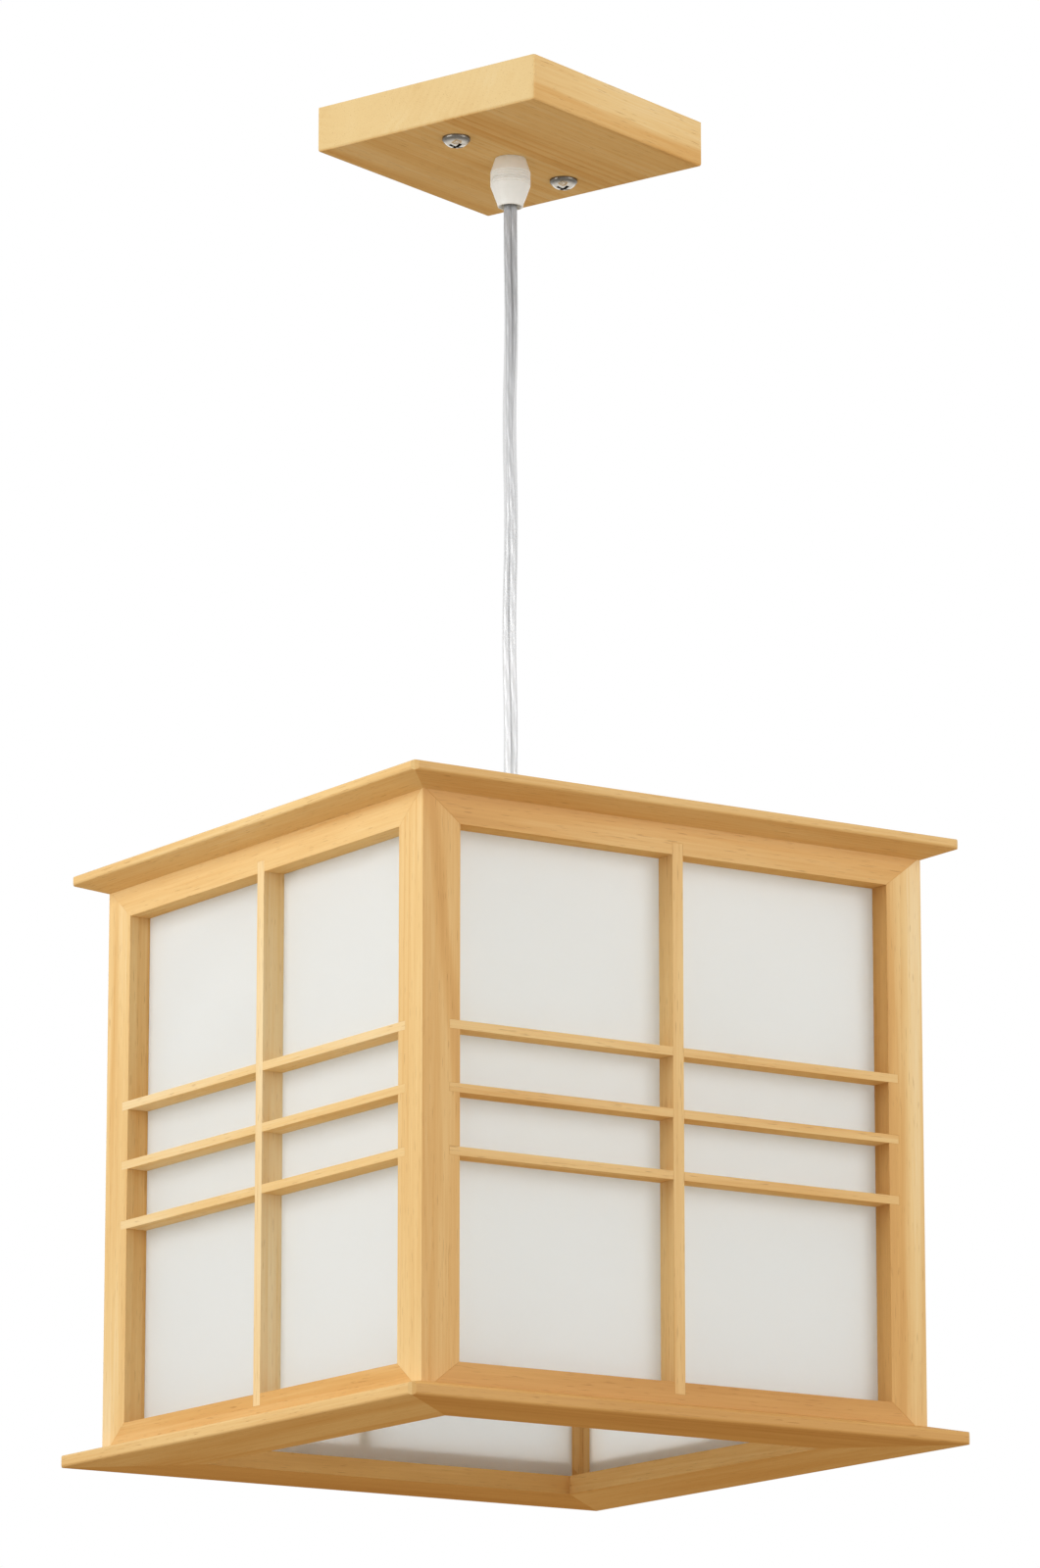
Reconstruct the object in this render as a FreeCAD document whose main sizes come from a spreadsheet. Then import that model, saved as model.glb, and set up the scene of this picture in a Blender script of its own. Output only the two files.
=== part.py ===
import FreeCAD, Part
import Sketcher
import math
import os

# A square wooden pendant lantern that hangs from a wooden ceiling plate on one clear cord.
# Millimetres, +Z up. The origin is on the ceiling, over the middle of the lantern.
# The lantern's own levels are counted up from the underside of its bottom ring.

doc = FreeCAD.newDocument("ceiling_lamp")
Vector = FreeCAD.Vector

# Driving dimensions

SIZES = {
    # ceiling plate, with a hollow back for the bracket and the wiring
    "plate_width": 120.0,
    "plate_thickness": 20.0,
    "plate_wall": 14.0,
    "plate_floor": 5.0,
    "plate_edge_radius": 1.2,
    "plate_turn": 18.3,
    # steel bracket on the ceiling, and the two screws that pull the plate up to it
    "bracket_end_gap": 2.0,
    "bracket_width": 20.0,
    "bracket_thickness": 1.5,
    "ceiling_hole_pitch": 50.0,
    "ceiling_hole_diameter": 5.0,
    "plate_screw_margin": 6.0,
    "screw_diameter": 4.0,
    "screw_head_diameter": 12.2,
    "screw_head_height": 3.6,
    "screw_end_gap": 0.4,
    "cross_length": 6.4,
    "cross_width": 1.3,
    "cross_depth": 2.0,
    "hole_clearance": 0.3,
    "thread_clearance": 0.05,
    # cord and the plastic grip that holds it under the plate
    "cord_diameter": 6.0,
    "cord_clearance": 0.35,
    "cord_drop": 291.2,
    "core_diameter": 1.8,
    "core_spacing": 2.6,
    "core_bend": 3.2,
    "swing_tilt": 28.5,
    "pivot_depth": 2.0,
    "neck_gap": 0.3,
    "stem_diameter": 10.0,
    "nut_width": 15.0,
    "nut_thickness": 3.0,
    "grip_body_height": 10.0,
    "grip_cap_height": 12.0,
    "grip_top_diameter": 13.5,
    "grip_seam_diameter": 17.6,
    "grip_nose_diameter": 11.6,
    "grip_nose_height": 1.4,
    "grip_mouth_lip": 0.6,
    "ridge_pitch": 1.2,
    "ridge_depth": 0.3,
    "collet_diameter": 11.0,
    "collet_length": 7.0,
    # terminal block in the plate's back
    "block_width": 20.0,
    "block_depth": 14.0,
    "block_height": 11.0,
    "block_offset": 20.0,
    "block_pitch": 8.0,
    "block_hole_diameter": 3.4,
    "core_insertion": 3.0,
    # lantern sides
    "side_width": 250.0,
    "side_height": 246.7,
    "side_depth": 10.0,
    "stile_width": 18.0,
    "rail_width": 13.9,
    "upright_bar_width": 5.3,
    "cross_bar_width": 3.7,
    "bar_spacing": 25.75,
    "middle_bar_height": 127.5,
    "tongue_length": 5.0,
    "tongue_depth": 4.0,
    # translucent panels behind the sides
    "panel_thickness": 1.0,
    "panel_corner_margin": 6.5,
    "panel_top_gap": 1.0,
    # cornice over the sides
    "cornice_overhang": 12.4,
    "cornice_thickness": 7.1,
    "cornice_edge": 3.8,
    "cornice_lip": 1.2,
    "cornice_width": 44.4,
    # ring under the sides
    "ring_overhang": 13.5,
    "ring_thickness": 8.0,
    "ring_edge": 5.0,
    "ring_groove": 5.0,
    "ring_width": 45.5,
    # eased arrises and tips of cornice and ring
    "edge_radius": 1.2,
    "tip_cut": 1.2,
    # bar that carries the lantern, and its wood screws
    "hanger_width": 26.0,
    "hanger_thickness": 14.0,
    "hanger_end_gap": 0.3,
    "hanger_screw_inset": 9.0,
    "hanger_screw_pitch": 13.0,
    "wood_screw_diameter": 3.5,
    "wood_screw_head": 7.0,
    "wood_screw_bite": 5.2,
    # lower cord grip and hollow nipple through the bar
    "nipple_diameter": 10.0,
    "nipple_above": 7.0,
    "nipple_below": 8.0,
    "lower_grip_diameter": 16.0,
    "lower_grip_top_diameter": 10.0,
    "lower_grip_height": 15.0,
    # lampholder
    "holder_cap_height": 20.0,
    "holder_cap_top_diameter": 24.0,
    "holder_diameter": 40.0,
    "holder_wall": 2.2,
    "holder_roof": 3.0,
    "holder_shell_length": 40.0,
    "insert_flange": 3.0,
    "insert_seat": 1.2,
    "insert_boss_length": 4.0,
    "screw_shell_length": 26.0,
    "screw_shell_wall": 0.5,
    "contact_diameter": 8.0,
    "contact_thickness": 1.2,
    "seat_clearance": 0.1,
    # bulb
    "bulb_cap_diameter": 26.1,
    "bulb_cap_length": 26.0,
    "bulb_cap_taper": 4.0,
    "bulb_clearance": 0.3,
    "bulb_tip_diameter": 9.0,
    "bulb_tip_height": 1.5,
    "bulb_diameter": 60.0,
    "bulb_length": 108.0,
    "bulb_wall": 1.0,
}

sheet = doc.addObject("Spreadsheet::Sheet", "dim")
for row, (alias, value) in enumerate(SIZES.items(), 1):
    sheet.set(f"A{row}", alias)
    sheet.set(f"B{row}", str(value))
    sheet.setAlias(f"B{row}", alias)
doc.recompute()


def measure(expression):
    """The value in millimetres of an expression on the sheet."""
    return float(sheet.evalExpression(expression))


# Levels and half widths that several pieces share, as expressions on the sheet

HALF = "dim.side_width / 2"
BACK = f"({HALF} - dim.side_depth)"
OPEN = f"({HALF} - dim.stile_width)"
FOOT = "(dim.ring_thickness - dim.ring_groove)"
HEAD = f"({FOOT} + dim.side_height)"
SILL = f"({FOOT} + dim.rail_width)"
LINTEL = f"({HEAD} - dim.rail_width)"
HANGER_UNDER = f"({HEAD} - dim.hanger_thickness)"
GRIP_SEAM = "-(dim.plate_thickness + dim.grip_body_height)"
GRIP_MOUTH = f"({GRIP_SEAM} - dim.grip_cap_height)"
PIVOT = f"({GRIP_MOUTH} + dim.pivot_depth)"
LANTERN_BASE = f"({GRIP_MOUTH} - dim.cord_drop - dim.cornice_thickness - {HEAD})"
RECESS_FLOOR = "(dim.plate_floor - dim.plate_thickness)"
BRACKET_END = "(dim.plate_width / 2 - dim.plate_wall - dim.bracket_end_gap)"
PLATE_SCREW = f"({BRACKET_END} - dim.plate_screw_margin)"
CORD_RADIUS = "dim.cord_diameter / 2"
CORD_BORE = f"({CORD_RADIUS} + dim.cord_clearance)"
HELD_BORE = f"({CORD_RADIUS} + dim.thread_clearance)"

SIDES = ("front", "right", "back", "left")


# Sketches and features

def new_body(label, base=None, turn=None):
    """A body whose height and turn about Z are expressions."""
    body = doc.addObject("PartDesign::Body", label)
    body.Label = label
    if turn:
        body.setExpression("Placement.Rotation.Angle", turn)
    if base:
        body.setExpression("Placement.Base.z", base)
    return body


def new_sketch(body, plane, offset=None):
    """An empty sketch on one of the body's own origin planes, raised along its normal."""
    sketch = body.newObject("Sketcher::SketchObject", body.Label + "_sketch")
    support = [feature for feature in body.Origin.OriginFeatures if feature.Role == plane][0]
    sketch.AttachmentSupport = (support, [""])
    sketch.MapMode = "FlatFace"
    if offset:
        sketch.setExpression("AttachmentOffset.Base.z", offset)
    return sketch


def fix(sketch, kind, value, *place):
    """A dimension of the sketch that follows an expression."""
    index = sketch.addConstraint(Sketcher.Constraint(kind, *place, measure(value)))
    sketch.setExpression(f"Constraints[{index}]", value)


def add_loop(sketch, corners):
    """A closed outline of straight sides through corners given as pairs of expressions."""
    points = [Vector(measure(x), measure(y), 0) for x, y in corners]
    first = sketch.GeometryCount
    count = len(points)
    for i in range(count):
        sketch.addGeometry(Part.LineSegment(points[i], points[(i + 1) % count]))
    for i in range(count):
        sketch.addConstraint(Sketcher.Constraint("Coincident", first + i, 2, first + (i + 1) % count, 1))
    for i, (x, y) in enumerate(corners):
        fix(sketch, "DistanceX", x, first + i, 1)
        fix(sketch, "DistanceY", y, first + i, 1)


def add_circle(sketch, x, y, radius):
    """A circle with its centre and radius given as expressions."""
    centre = Vector(measure(x), measure(y), 0)
    index = sketch.addGeometry(Part.Circle(centre, Vector(0, 0, 1), measure(radius)))
    fix(sketch, "DistanceX", x, index, 3)
    fix(sketch, "DistanceY", y, index, 3)
    fix(sketch, "Radius", radius, index)


def add_box(sketch, low, high):
    """A rectangle between two opposite corners."""
    add_loop(sketch, [(low[0], low[1]), (high[0], low[1]), (high[0], high[1]), (low[0], high[1])])


def pad(body, sketch, length, symmetric=False, back=False):
    """Material added from the sketch, along its normal, both ways or backwards."""
    feature = body.newObject("PartDesign::Pad", body.Label + "_pad")
    feature.Profile = sketch
    feature.SideType = "Symmetric" if symmetric else "One side"
    feature.Reversed = back
    feature.setExpression("Length", length)
    doc.recompute()
    return feature


def pocket(body, sketch, length=None, back=False):
    """Material cut from the sketch, against its normal, or right through both ways without a length."""
    before = body.Shape.Volume
    feature = body.newObject("PartDesign::Pocket", body.Label + "_pocket")
    feature.Profile = sketch
    if length:
        feature.Reversed = back
        feature.setExpression("Length", length)
    else:
        feature.Type = "ThroughAll"
        feature.SideType = "Symmetric"
    doc.recompute()
    if body.Shape.Volume >= before:
        raise RuntimeError(f"{feature.Name} cuts nothing")
    return feature


def pattern(body, feature, spacing, count):
    """Copies of a feature up the body's Z axis."""
    row = body.newObject("PartDesign::LinearPattern", body.Label + "_row")
    upright = [axis for axis in body.Origin.OriginFeatures if axis.Role == "Z_Axis"][0]
    row.Originals = [feature]
    row.Direction = (upright, [""])
    row.Mode = "Spacing"
    row.Occurrences = count
    row.setExpression("Offset", spacing)
    body.Tip = row
    doc.recompute()


def ease(body, radius, wanted):
    """Rounds the edges that the test picks out."""
    names = [f"Edge{i}" for i, edge in enumerate(body.Tip.Shape.Edges, 1) if wanted(edge)]
    feature = body.newObject("PartDesign::Fillet", body.Label + "_ease")
    feature.Base = (body.Group[-2], names)
    feature.setExpression("Radius", radius)
    doc.recompute()


def turned(label, corners, base=None, turn=None):
    """A round piece: a half section of (radius, height) corners, turned about Z."""
    body = new_body(label, base, turn)
    sketch = new_sketch(body, "XZ_Plane")
    add_loop(sketch, corners)
    feature = body.newObject("PartDesign::Revolution", label + "_turn")
    feature.Profile = sketch
    feature.ReferenceAxis = (sketch, ["V_Axis"])
    doc.recompute()
    return body


def level_edge(edge, y, z):
    """True for an edge along X at the given distance from the axis and height."""
    middle = edge.CenterOfMass
    box = edge.BoundBox
    return abs(middle.y - y) < 0.01 and abs(middle.z - z) < 0.01 and box.XLength > 10 * box.ZLength


# Ceiling plate: a square block, hollow behind, with eased edges

def ceiling_plate():
    body = new_body("ceiling_plate", turn="dim.plate_turn")
    half = "dim.plate_width / 2"
    hollow = f"({half} - dim.plate_wall)"
    block = new_sketch(body, "XY_Plane")
    add_box(block, (f"-{half}", f"-{half}"), (half, half))
    pad(body, block, "dim.plate_thickness", back=True)
    top = max(edge.BoundBox.ZMax for edge in body.Shape.Edges)
    ease(body, "dim.plate_edge_radius", lambda edge: edge.BoundBox.ZMin < top - 0.01)
    recess = new_sketch(body, "XY_Plane")
    add_box(recess, (f"-{hollow}", f"-{hollow}"), (hollow, hollow))
    pocket(body, recess, "dim.plate_thickness - dim.plate_floor")
    holes = new_sketch(body, "XY_Plane")
    add_circle(holes, "0", "0", "dim.stem_diameter / 2 + dim.hole_clearance")
    for sign in ("", "-"):
        add_circle(holes, f"{sign}{PLATE_SCREW}", "0", "dim.screw_diameter / 2 + dim.hole_clearance")
    pocket(body, holes)


# Ceiling bracket: a steel strip with holes for the ceiling screws and tapped ends for the plate screws

def ceiling_bracket():
    body = new_body("ceiling_bracket", turn="dim.plate_turn")
    strip = new_sketch(body, "XY_Plane")
    add_box(strip, (f"-{BRACKET_END}", "-dim.bracket_width / 2"), (BRACKET_END, "dim.bracket_width / 2"))
    for sign in ("", "-"):
        add_circle(strip, f"{sign}dim.ceiling_hole_pitch / 2", "0", "dim.ceiling_hole_diameter / 2")
        add_circle(strip, f"{sign}{PLATE_SCREW}", "0", "dim.screw_diameter / 2 + dim.thread_clearance")
    pad(body, strip, "dim.bracket_thickness", back=True)


# Plate screws: pan heads with a cross recess under the plate, shanks up into the bracket

def plate_screws():
    body = new_body("plate_screws", turn="dim.plate_turn")
    body.AllowCompound = True
    under = "dim.plate_thickness"
    shanks = new_sketch(body, "XY_Plane", f"-{under}")
    heads = new_sketch(body, "XY_Plane", f"-{under}")
    crosses = new_sketch(body, "XY_Plane", f"-({under} + dim.screw_head_height)")
    for sign in ("", "-"):
        x = f"{sign}{PLATE_SCREW}"
        add_circle(shanks, x, "0", "dim.screw_diameter / 2")
        add_circle(heads, x, "0", "dim.screw_head_diameter / 2")
        arm, rib = "dim.cross_length / 2", "dim.cross_width / 2"
        steps = [(arm, rib), (rib, rib), (rib, arm)]
        quarter = [(1, 1), (-1, 1), (-1, -1), (1, -1)]
        corners = []
        for i, (along, across) in enumerate(quarter):
            ordered = steps if i % 2 == 0 else steps[::-1]
            corners += [(f"{x} + {along} * {u}", f"{across} * {v}") for u, v in ordered]
        add_loop(crosses, corners)
    pad(body, shanks, f"{under} - dim.screw_end_gap")
    pad(body, heads, "dim.screw_head_height", back=True)
    low = min(edge.BoundBox.ZMin for edge in body.Shape.Edges)
    ease(body, "dim.screw_head_height / 2", lambda edge: edge.BoundBox.ZMax < low + 0.01)
    pocket(body, crosses, "dim.cross_depth", back=True)


# Cord grip: a threaded body through the plate, a locknut behind it, and a cap with a flared mouth.
# A band of fine ridges for the fingers runs round both at their seam.

BODY_RIDGES = 3
CAP_RIDGES = 2


def ridges(radius, top, count):
    """Corners of a band of V-shaped grooves, from its top down, on a piece of the given radius."""
    corners = [(radius, top)]
    for i in range(count):
        middle = f"{top} - {2 * i + 1} * dim.ridge_pitch / 2"
        corners += [(radius, f"{middle} + dim.ridge_depth"), (f"{radius} - dim.ridge_depth", middle),
                    (radius, f"{middle} - dim.ridge_depth")]
    return corners + [(radius, f"{top} - {count} * dim.ridge_pitch")]


def cord_grip():
    stem = "dim.stem_diameter / 2"
    stem_top = f"({RECESS_FLOOR} + dim.nut_thickness)"
    seam = "dim.grip_seam_diameter / 2"
    band_top = f"({GRIP_SEAM} + {BODY_RIDGES} * dim.ridge_pitch)"
    collet = "dim.collet_diameter / 2"
    collet_end = f"({GRIP_SEAM} - dim.collet_length)"
    turned("grip_body", [
        (HELD_BORE, stem_top), (stem, stem_top), (stem, "-dim.plate_thickness"),
        ("dim.grip_top_diameter / 2", "-dim.plate_thickness"), *ridges(seam, band_top, BODY_RIDGES),
        (collet, GRIP_SEAM), (collet, collet_end), (HELD_BORE, collet_end)])

    socket = f"({collet} + dim.thread_clearance)"
    socket_end = f"({collet_end} - dim.thread_clearance)"
    throat = f"({CORD_RADIUS} / cos(dim.swing_tilt) + dim.cord_clearance)"
    mouth = f"({throat} + dim.pivot_depth * tan(dim.swing_tilt))"
    turned("grip_cap", [
        (socket, GRIP_SEAM), *ridges(seam, GRIP_SEAM, CAP_RIDGES),
        ("dim.grip_nose_diameter / 2", f"{GRIP_MOUTH} + dim.grip_nose_height"),
        (f"{mouth} + dim.grip_mouth_lip", GRIP_MOUTH), (mouth, GRIP_MOUTH), (throat, PIVOT),
        (throat, socket_end), (socket, socket_end)])

    nut = new_body("grip_locknut", turn="dim.plate_turn")
    faces = new_sketch(nut, "XY_Plane", RECESS_FLOOR)
    corner = "dim.nut_width / sqrt(3)"
    add_loop(faces, [(f"{corner} * cos({60 * i})", f"{corner} * sin({60 * i})") for i in range(6)])
    add_circle(faces, "0", "0", f"{stem} + dim.thread_clearance")
    pad(nut, faces, "dim.nut_thickness")


# Terminal block: a plastic block on the hollow's floor, with two wire holes and two screw wells

def terminal_block():
    body = new_body("terminal_block", turn="dim.plate_turn")
    base = new_sketch(body, "XY_Plane", RECESS_FLOOR)
    add_box(base, ("-dim.block_width / 2", "dim.block_offset"),
            ("dim.block_width / 2", "dim.block_offset + dim.block_depth"))
    pad(body, base, "dim.block_height")
    entries = new_sketch(body, "XZ_Plane", "-dim.block_offset")
    wells = new_sketch(body, "XY_Plane", f"{RECESS_FLOOR} + dim.block_height")
    for sign in ("", "-"):
        x = f"{sign}dim.block_pitch / 2"
        add_circle(entries, x, CORE_LEVEL, "dim.block_hole_diameter / 2")
        add_circle(wells, x, "dim.block_offset + dim.block_depth * 3 / 4", "dim.block_hole_diameter / 2")
    pocket(body, entries, "dim.block_depth / 2")
    pocket(body, wells, "dim.block_height / 3")


# Cord: the tail held in the grip with its two cores, the neck where it bends, and the taut hanging length

TAIL_TOP = f"({RECESS_FLOOR} + dim.nut_thickness + dim.thread_clearance)"
CORE_LEVEL = f"({TAIL_TOP} + dim.core_bend)"
CORD_END = f"({HANGER_UNDER} - dim.holder_cap_height + dim.cord_clearance)"


def tube(points, bend, diameter):
    """A round wire along two straight runs joined by a tangent arc."""
    start, corner, end = points
    arrive = (corner - start).normalize()
    leave = (end - corner).normalize()
    trim = bend * math.tan(arrive.getAngle(leave) / 2)
    first = corner - arrive * trim
    last = corner + leave * trim
    centre = first + (leave - arrive * arrive.dot(leave)).normalize() * bend
    middle = centre + (corner - centre).normalize() * bend
    edges = [Part.Arc(first, middle, last).toShape(), Part.LineSegment(last, end).toShape()]
    if (first - start).Length > 1e-6:
        edges.insert(0, Part.LineSegment(start, first).toShape())
    path = Part.Wire(edges)
    section = Part.Wire([Part.Circle(start, arrive, diameter / 2).toShape()])
    solid = path.makePipeShell([section], True, False)
    expected = math.pi * diameter ** 2 / 4 * path.Length
    print(f"core: bend radius {bend:.2f} mm, volume over section times length "
          f"{solid.Volume / expected:.4f}")
    return solid


def cord():
    tail = new_body("cord_tail")
    section = new_sketch(tail, "XY_Plane", f"{PIVOT} + {CORD_RADIUS} + dim.neck_gap")
    add_circle(section, "0", "0", CORD_RADIUS)
    pad(tail, section, f"{TAIL_TOP} - ({PIVOT} + {CORD_RADIUS} + dim.neck_gap)")

    cores = doc.addObject("Part::Feature", "cord_cores")
    cores.Label = "cord_cores"
    level = measure(CORE_LEVEL)
    wires = []
    for sign in (1, -1):
        start = Vector(sign * measure("dim.core_spacing / 2"), 0, measure(TAIL_TOP))
        corner = Vector(start.x, start.y, level)
        end = Vector(sign * measure("dim.block_pitch / 2"),
                     measure("dim.block_offset + dim.core_insertion"), level)
        wires.append(tube([start, corner, end], measure("dim.core_bend"), measure("dim.core_diameter")))
    cores.Shape = Part.makeCompound(wires)
    cores.setExpression("Placement.Rotation.Angle", "dim.plate_turn")

    neck = doc.addObject("Part::Sphere", "cord_neck")
    neck.Label = "cord_neck"
    neck.setExpression("Radius", CORD_RADIUS)
    neck.setExpression("Placement.Base.z", PIVOT)

    run = doc.addObject("Part::Cylinder", "cord_run")
    run.setExpression("Radius", CORD_RADIUS)
    run.setExpression("Height", f"{PIVOT} - {LANTERN_BASE} - {CORD_END}")
    run.setExpression("Placement.Base.z", f"{LANTERN_BASE} + {CORD_END}")
    cup = doc.addObject("Part::Sphere", "cord_cup")
    cup.setExpression("Radius", f"{CORD_RADIUS} + dim.thread_clearance")
    cup.setExpression("Placement.Base.z", PIVOT)
    hanging = doc.addObject("Part::Cut", "supply_cord")
    hanging.Label = "supply_cord"
    hanging.Base = run
    hanging.Tool = cup


# Lantern side: a mitred frame, a halved lattice let into its face, and a panel on its back

FRONT_PLANE = HALF
BAR = "dim.upright_bar_width / 2"
CROSS_BAR = "dim.cross_bar_width / 2"
LOW_BAR = "(dim.middle_bar_height - dim.bar_spacing)"
BAR_COUNT = 3


def corner_mitre(body, sign):
    """Cuts a member's outer end along the vertical mitre of the lantern's corner."""
    sketch = new_sketch(body, "XY_Plane")
    out = f"({HALF} + dim.side_depth)"
    deep = f"({BACK} - dim.side_depth)"
    add_loop(sketch, [(f"{sign} * {out}", f"-{out}"), (f"{sign} * {out}", f"-{deep}"),
                      (f"{sign} * {deep}", f"-{deep}")])
    pocket(body, sketch)


def stile(side, turn, name, sign):
    body = new_body(f"{side}_{name}_stile", LANTERN_BASE, turn)
    outline = new_sketch(body, "XZ_Plane", FRONT_PLANE)
    outer, inner = f"{sign} * {HALF}", f"{sign} * {OPEN}"
    add_loop(outline, [(outer, FOOT), (inner, SILL), (inner, LINTEL), (outer, HEAD)])
    pad(body, outline, "dim.side_depth", back=True)
    corner_mitre(body, sign)
    housing = new_sketch(body, "XZ_Plane", FRONT_PLANE)
    add_box(housing, (f"{sign} * ({OPEN} + dim.tongue_length)", f"{LOW_BAR} - {CROSS_BAR}"),
            (inner, f"{LOW_BAR} + {CROSS_BAR}"))
    pattern(body, pocket(body, housing, "dim.tongue_depth"), "dim.bar_spacing", BAR_COUNT)


def rail(side, turn, name, edge, lip, reach):
    """A rail between its outer edge and the lip of the opening; the bar's tongue reaches past the lip."""
    body = new_body(f"{side}_{name}_rail", LANTERN_BASE, turn)
    outline = new_sketch(body, "XZ_Plane", FRONT_PLANE)
    add_loop(outline, [(f"-{HALF}", edge), (f"-{OPEN}", lip), (OPEN, lip), (HALF, edge)])
    pad(body, outline, "dim.side_depth", back=True)
    for sign in (-1, 1):
        corner_mitre(body, sign)
    housing = new_sketch(body, "XZ_Plane", FRONT_PLANE)
    add_box(housing, (f"-{BAR}", lip), (BAR, f"{lip} + {reach} * dim.tongue_length"))
    pocket(body, housing, "dim.tongue_depth")


def upright_bar(side, turn):
    body = new_body(f"{side}_upright_bar", LANTERN_BASE, turn)
    profile = new_sketch(body, "YZ_Plane")
    face, step, back = f"-{HALF}", f"-{HALF} + dim.tongue_depth", f"-{BACK}"
    low, high = f"{SILL} - dim.tongue_length", f"{LINTEL} + dim.tongue_length"
    add_loop(profile, [(face, low), (face, high), (step, high), (step, LINTEL), (back, LINTEL),
                       (back, SILL), (step, SILL), (step, low)])
    pad(body, profile, "dim.upright_bar_width", symmetric=True)
    halving = new_sketch(body, "YZ_Plane")
    add_box(halving, (f"-{HALF} + dim.side_depth / 2", f"{LOW_BAR} - {CROSS_BAR}"),
            (back, f"{LOW_BAR} + {CROSS_BAR}"))
    pattern(body, pocket(body, halving), "dim.bar_spacing", BAR_COUNT)


def cross_bars(side, turn):
    body = new_body(f"{side}_cross_bars", LANTERN_BASE, turn)
    body.AllowCompound = True
    profile = new_sketch(body, "XY_Plane", LOW_BAR)
    face, step, back = f"-{HALF}", f"-{HALF} + dim.tongue_depth", f"-{BACK}"
    halved = f"-{HALF} + dim.side_depth / 2"
    reach = f"({OPEN} + dim.tongue_length)"
    add_loop(profile, [(f"-{reach}", face), (f"-{BAR}", face), (f"-{BAR}", halved), (BAR, halved),
                       (BAR, face), (reach, face), (reach, step), (OPEN, step), (OPEN, back),
                       (f"-{OPEN}", back), (f"-{OPEN}", step), (f"-{reach}", step)])
    bar = pad(body, profile, "dim.cross_bar_width", symmetric=True)
    pattern(body, bar, "dim.bar_spacing", BAR_COUNT)


def panel(side, turn):
    body = new_body(f"{side}_panel", LANTERN_BASE, turn)
    edge = f"({BACK} - dim.panel_corner_margin)"
    sheet_outline = new_sketch(body, "XZ_Plane", BACK)
    add_box(sheet_outline, (f"-{edge}", "dim.ring_thickness"), (edge, f"{HEAD} - dim.panel_top_gap"))
    pad(body, sheet_outline, "dim.panel_thickness", back=True)


def lantern_side(side, turn):
    stile(side, turn, "left", -1)
    stile(side, turn, "right", 1)
    rail(side, turn, "top", HEAD, LINTEL, 1)
    rail(side, turn, "bottom", FOOT, SILL, -1)
    upright_bar(side, turn)
    cross_bars(side, turn)
    panel(side, turn)


# Cornice and bottom ring: four members each, mitred at the corners, with eased arrises and tips

def mitred_member(label, turn, profile, outer, inner, arrises):
    """One member of a square ring: its section, its mitred ends and its eased outer edges."""
    body = new_body(label, LANTERN_BASE, turn)
    section = new_sketch(body, "YZ_Plane")
    add_loop(section, [(f"-{distance}", height) for distance, height in profile])
    pad(body, section, f"2 * {outer}", symmetric=True)
    heights = [measure(height) for height in arrises]
    ease(body, "dim.edge_radius",
         lambda edge: any(level_edge(edge, -measure(outer), height) for height in heights))
    ends = new_sketch(body, "XY_Plane")
    beyond = f"({outer} + dim.ring_width)"
    within = f"({inner} - dim.ring_width)"
    for sign in (-1, 1):
        add_loop(ends, [
            (f"{sign} * {within}", f"-{within}"),
            (f"{sign} * ({outer} - dim.tip_cut)", f"-({outer} - dim.tip_cut)"),
            (f"{sign} * ({outer} - 2 * dim.tip_cut)", f"-{outer}"),
            (f"{sign} * ({outer} - 2 * dim.tip_cut)", f"-{beyond}"),
            (f"{sign} * {beyond}", f"-{beyond}"), (f"{sign} * {beyond}", f"-{within}")])
    pocket(body, ends)
    return body


def cornice_member(side, turn):
    outer = f"({HALF} + dim.cornice_overhang)"
    inner = f"({outer} - dim.cornice_width)"
    top = f"({HEAD} + dim.cornice_thickness)"
    edge = f"({top} - dim.cornice_edge)"
    profile = [(inner, HEAD), (HALF, HEAD), (HALF, f"{HEAD} - dim.cornice_lip"), (outer, edge),
               (outer, top), (inner, top)]
    body = mitred_member(f"{side}_cornice", turn, profile, outer, inner, [edge, top])
    if side in HANGER_ENDS:
        pilots = new_sketch(body, "XY_Plane", HEAD)
        for sign in (-1, 1):
            add_circle(pilots, f"{sign} * dim.hanger_screw_pitch / 2", f"-{HANGER_SCREW}",
                       "dim.wood_screw_diameter / 2 + dim.thread_clearance")
        pocket(body, pilots, "dim.wood_screw_bite + dim.screw_end_gap", back=True)


def ring_member(side, turn):
    outer = f"({HALF} + dim.ring_overhang)"
    inner = f"({outer} - dim.ring_width)"
    profile = [(inner, "0"), (outer, "0"), (outer, "dim.ring_edge"), (HALF, "dim.ring_thickness"),
               (HALF, FOOT), (BACK, FOOT), (BACK, "dim.ring_thickness"), (inner, "dim.ring_thickness")]
    mitred_member(f"{side}_ring", turn, profile, outer, inner, ["0", "dim.ring_edge"])


# Hanger bar: a wooden bar under the cornice, held by wood screws from below, with their heads sunk in it

HANGER_ENDS = ("left", "right")
HANGER_REACH = f"({BACK} - dim.panel_thickness - dim.hanger_end_gap)"
HANGER_SCREW = f"({HANGER_REACH} - dim.hanger_screw_inset)"


def hanger_places():
    """The four wood screws' places, as pairs of expressions."""
    return [(f"{i} * {HANGER_SCREW}", f"{j} * dim.hanger_screw_pitch / 2") for i in (-1, 1) for j in (-1, 1)]


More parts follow.
